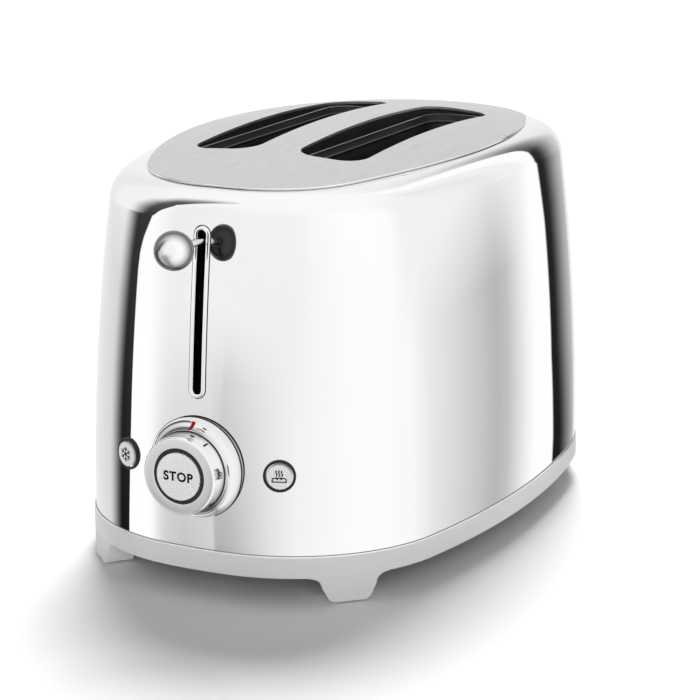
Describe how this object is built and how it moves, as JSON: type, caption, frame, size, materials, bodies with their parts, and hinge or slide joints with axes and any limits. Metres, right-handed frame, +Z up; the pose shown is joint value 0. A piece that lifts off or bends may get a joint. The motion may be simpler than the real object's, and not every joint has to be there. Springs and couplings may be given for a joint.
{
  "type": "two-slice toaster",
  "caption": "Rounded steel toaster with bread slots in a domed top plate, a ball lever, a browning dial with a stop button, side buttons and a rear crumb tray.",
  "frame": {"origin": "centre of the toaster's bounding box, on the surface it stands on", "axes": "+Z up, +X across the toaster, +Y along it towards the rear; the lever and the dial are at the -Y end"},
  "size_m": [0.1946, 0.3284, 0.198],
  "materials": {
    "mirror_steel": "mirror-polished stainless steel",
    "brushed_plate": "satin brushed",
    "black_frame": "black heat-proof enamel",
    "band_plastic": "light grey, satin",
    "foot_rubber": "soft",
    "sheet_steel": "galvanised sheet",
    "guard_steel": "dark heat-treated sheet",
    "mica": "mica board",
    "heating_ribbon": "resistance ribbon",
    "satin_chrome": "satin chrome",
    "ring_plastic": "dark grey",
    "silver_cap": "silver",
    "inner_plastic": "heat-proof moulding",
    "circuit_board": "laminate",
    "copper_wire": "enamelled winding",
    "polished_rod": "ground steel"
  },
  "bodies": {
    "housing": {"outer_shell": "mirror_steel", "top_plate": "brushed_plate", "slot_frame": "black_frame", "base_band": "band_plastic", "base_plate": "inner_plastic", "chassis_front": "sheet_steel", "chassis_rear": "sheet_steel", "lever_bezel": "satin_chrome", "dial_base": "satin_chrome", "timer_body": "inner_plastic", "stop_switch": "inner_plastic", "control_board": "circuit_board", "return_spring": "sheet_steel", "latch_magnet": "sheet_steel", "latch_coil": "copper_wire", "cord_gland": "inner_plastic", "terminal_block": "inner_plastic", "foot_pad_front_left": "foot_rubber", "foot_pad_front_right": "foot_rubber", "foot_pad_rear_left": "foot_rubber", "foot_pad_rear_right": "foot_rubber", "heater_board_left_inner": "mica", "heater_ribbon_left_inner": "heating_ribbon", "heater_board_left_outer": "mica", "heater_ribbon_left_outer": "heating_ribbon", "heater_board_right_inner": "mica", "heater_ribbon_right_inner": "heating_ribbon", "heater_board_right_outer": "mica", "heater_ribbon_right_outer": "heating_ribbon", "heat_shield_left": "sheet_steel", "guide_rod_left": "polished_rod", "board_post_left": "inner_plastic", "heat_shield_right": "sheet_steel", "guide_rod_right": "polished_rod", "board_post_right": "inner_plastic", "defrost_ring": "ring_plastic", "defrost_pod": "inner_plastic", "reheat_ring": "ring_plastic", "reheat_pod": "inner_plastic", "cord_cleat_front": "inner_plastic", "cord_cleat_rear": "inner_plastic"},
    "carriage": {"carriage": "sheet_steel", "bread_rack_left": "guard_steel", "bread_rack_right": "guard_steel", "lever_stem": "satin_chrome", "lever_ball": "satin_chrome", "latch_keeper": "sheet_steel"},
    "dial": {"dial_knob": "satin_chrome", "stop_ring": "ring_plastic"},
    "stop": {"stop_button": "silver_cap"},
    "defrost": {"defrost_button": "silver_cap"},
    "reheat": {"reheat_button": "silver_cap"},
    "tray": {"crumb_tray": "sheet_steel", "tray_pull": "mirror_steel"},
    "guard_left_inner": {"bread_guard_left_inner": "guard_steel"},
    "guard_left_outer": {"bread_guard_left_outer": "guard_steel"},
    "guard_right_inner": {"bread_guard_right_inner": "guard_steel"},
    "guard_right_outer": {"bread_guard_right_outer": "guard_steel"}
  },
  "joints": [
    {"name": "lever_down", "type": "slide", "parent": "housing", "child": "carriage", "axis": [0, 0, -1], "range_m": [0, 0.065], "stiffness_N_per_m": 100, "springref_m": -0.05, "deforming": ["return_spring"]},
    {"name": "dial_turn", "type": "hinge", "parent": "housing", "child": "dial", "pos_m": [0, -0.13838, 0.0615], "axis": [0, 1, 0], "range_deg": [0, 270]},
    {"name": "stop_press", "type": "slide", "parent": "housing", "child": "stop", "axis": [0, 1, 0], "range_m": [0, 0.0015], "stiffness_N_per_m": 800, "springref_m": -0.001},
    {"name": "defrost_press", "type": "slide", "parent": "housing", "child": "defrost", "axis": [0.3746, 0.9272, 0], "range_m": [0, 0.0015], "stiffness_N_per_m": 800, "springref_m": -0.001},
    {"name": "reheat_press", "type": "slide", "parent": "housing", "child": "reheat", "axis": [-0.3746, 0.9272, 0], "range_m": [0, 0.0015], "stiffness_N_per_m": 800, "springref_m": -0.001},
    {"name": "crumb_tray_pull", "type": "slide", "parent": "housing", "child": "tray", "axis": [0, 1, 0], "range_m": [0, 0.247]},
    {"name": "guard_left_inner_close", "type": "slide", "parent": "housing", "child": "guard_left_inner", "axis": [-1, 0, 0], "range_m": [0, 0.006]},
    {"name": "guard_left_outer_close", "type": "slide", "parent": "housing", "child": "guard_left_outer", "axis": [1, 0, 0], "range_m": [0, 0.006]},
    {"name": "guard_right_inner_close", "type": "slide", "parent": "housing", "child": "guard_right_inner", "axis": [1, 0, 0], "range_m": [0, 0.006]},
    {"name": "guard_right_outer_close", "type": "slide", "parent": "housing", "child": "guard_right_outer", "axis": [-1, 0, 0], "range_m": [0, 0.006]}
  ],
  "couplings": [
    {"joint": "guard_left_inner_close", "follows": "lever_down", "ratio": 0.092307},
    {"joint": "guard_left_outer_close", "follows": "lever_down", "ratio": 0.092307},
    {"joint": "guard_right_inner_close", "follows": "lever_down", "ratio": 0.092307},
    {"joint": "guard_right_outer_close", "follows": "lever_down", "ratio": 0.092307}
  ]
}
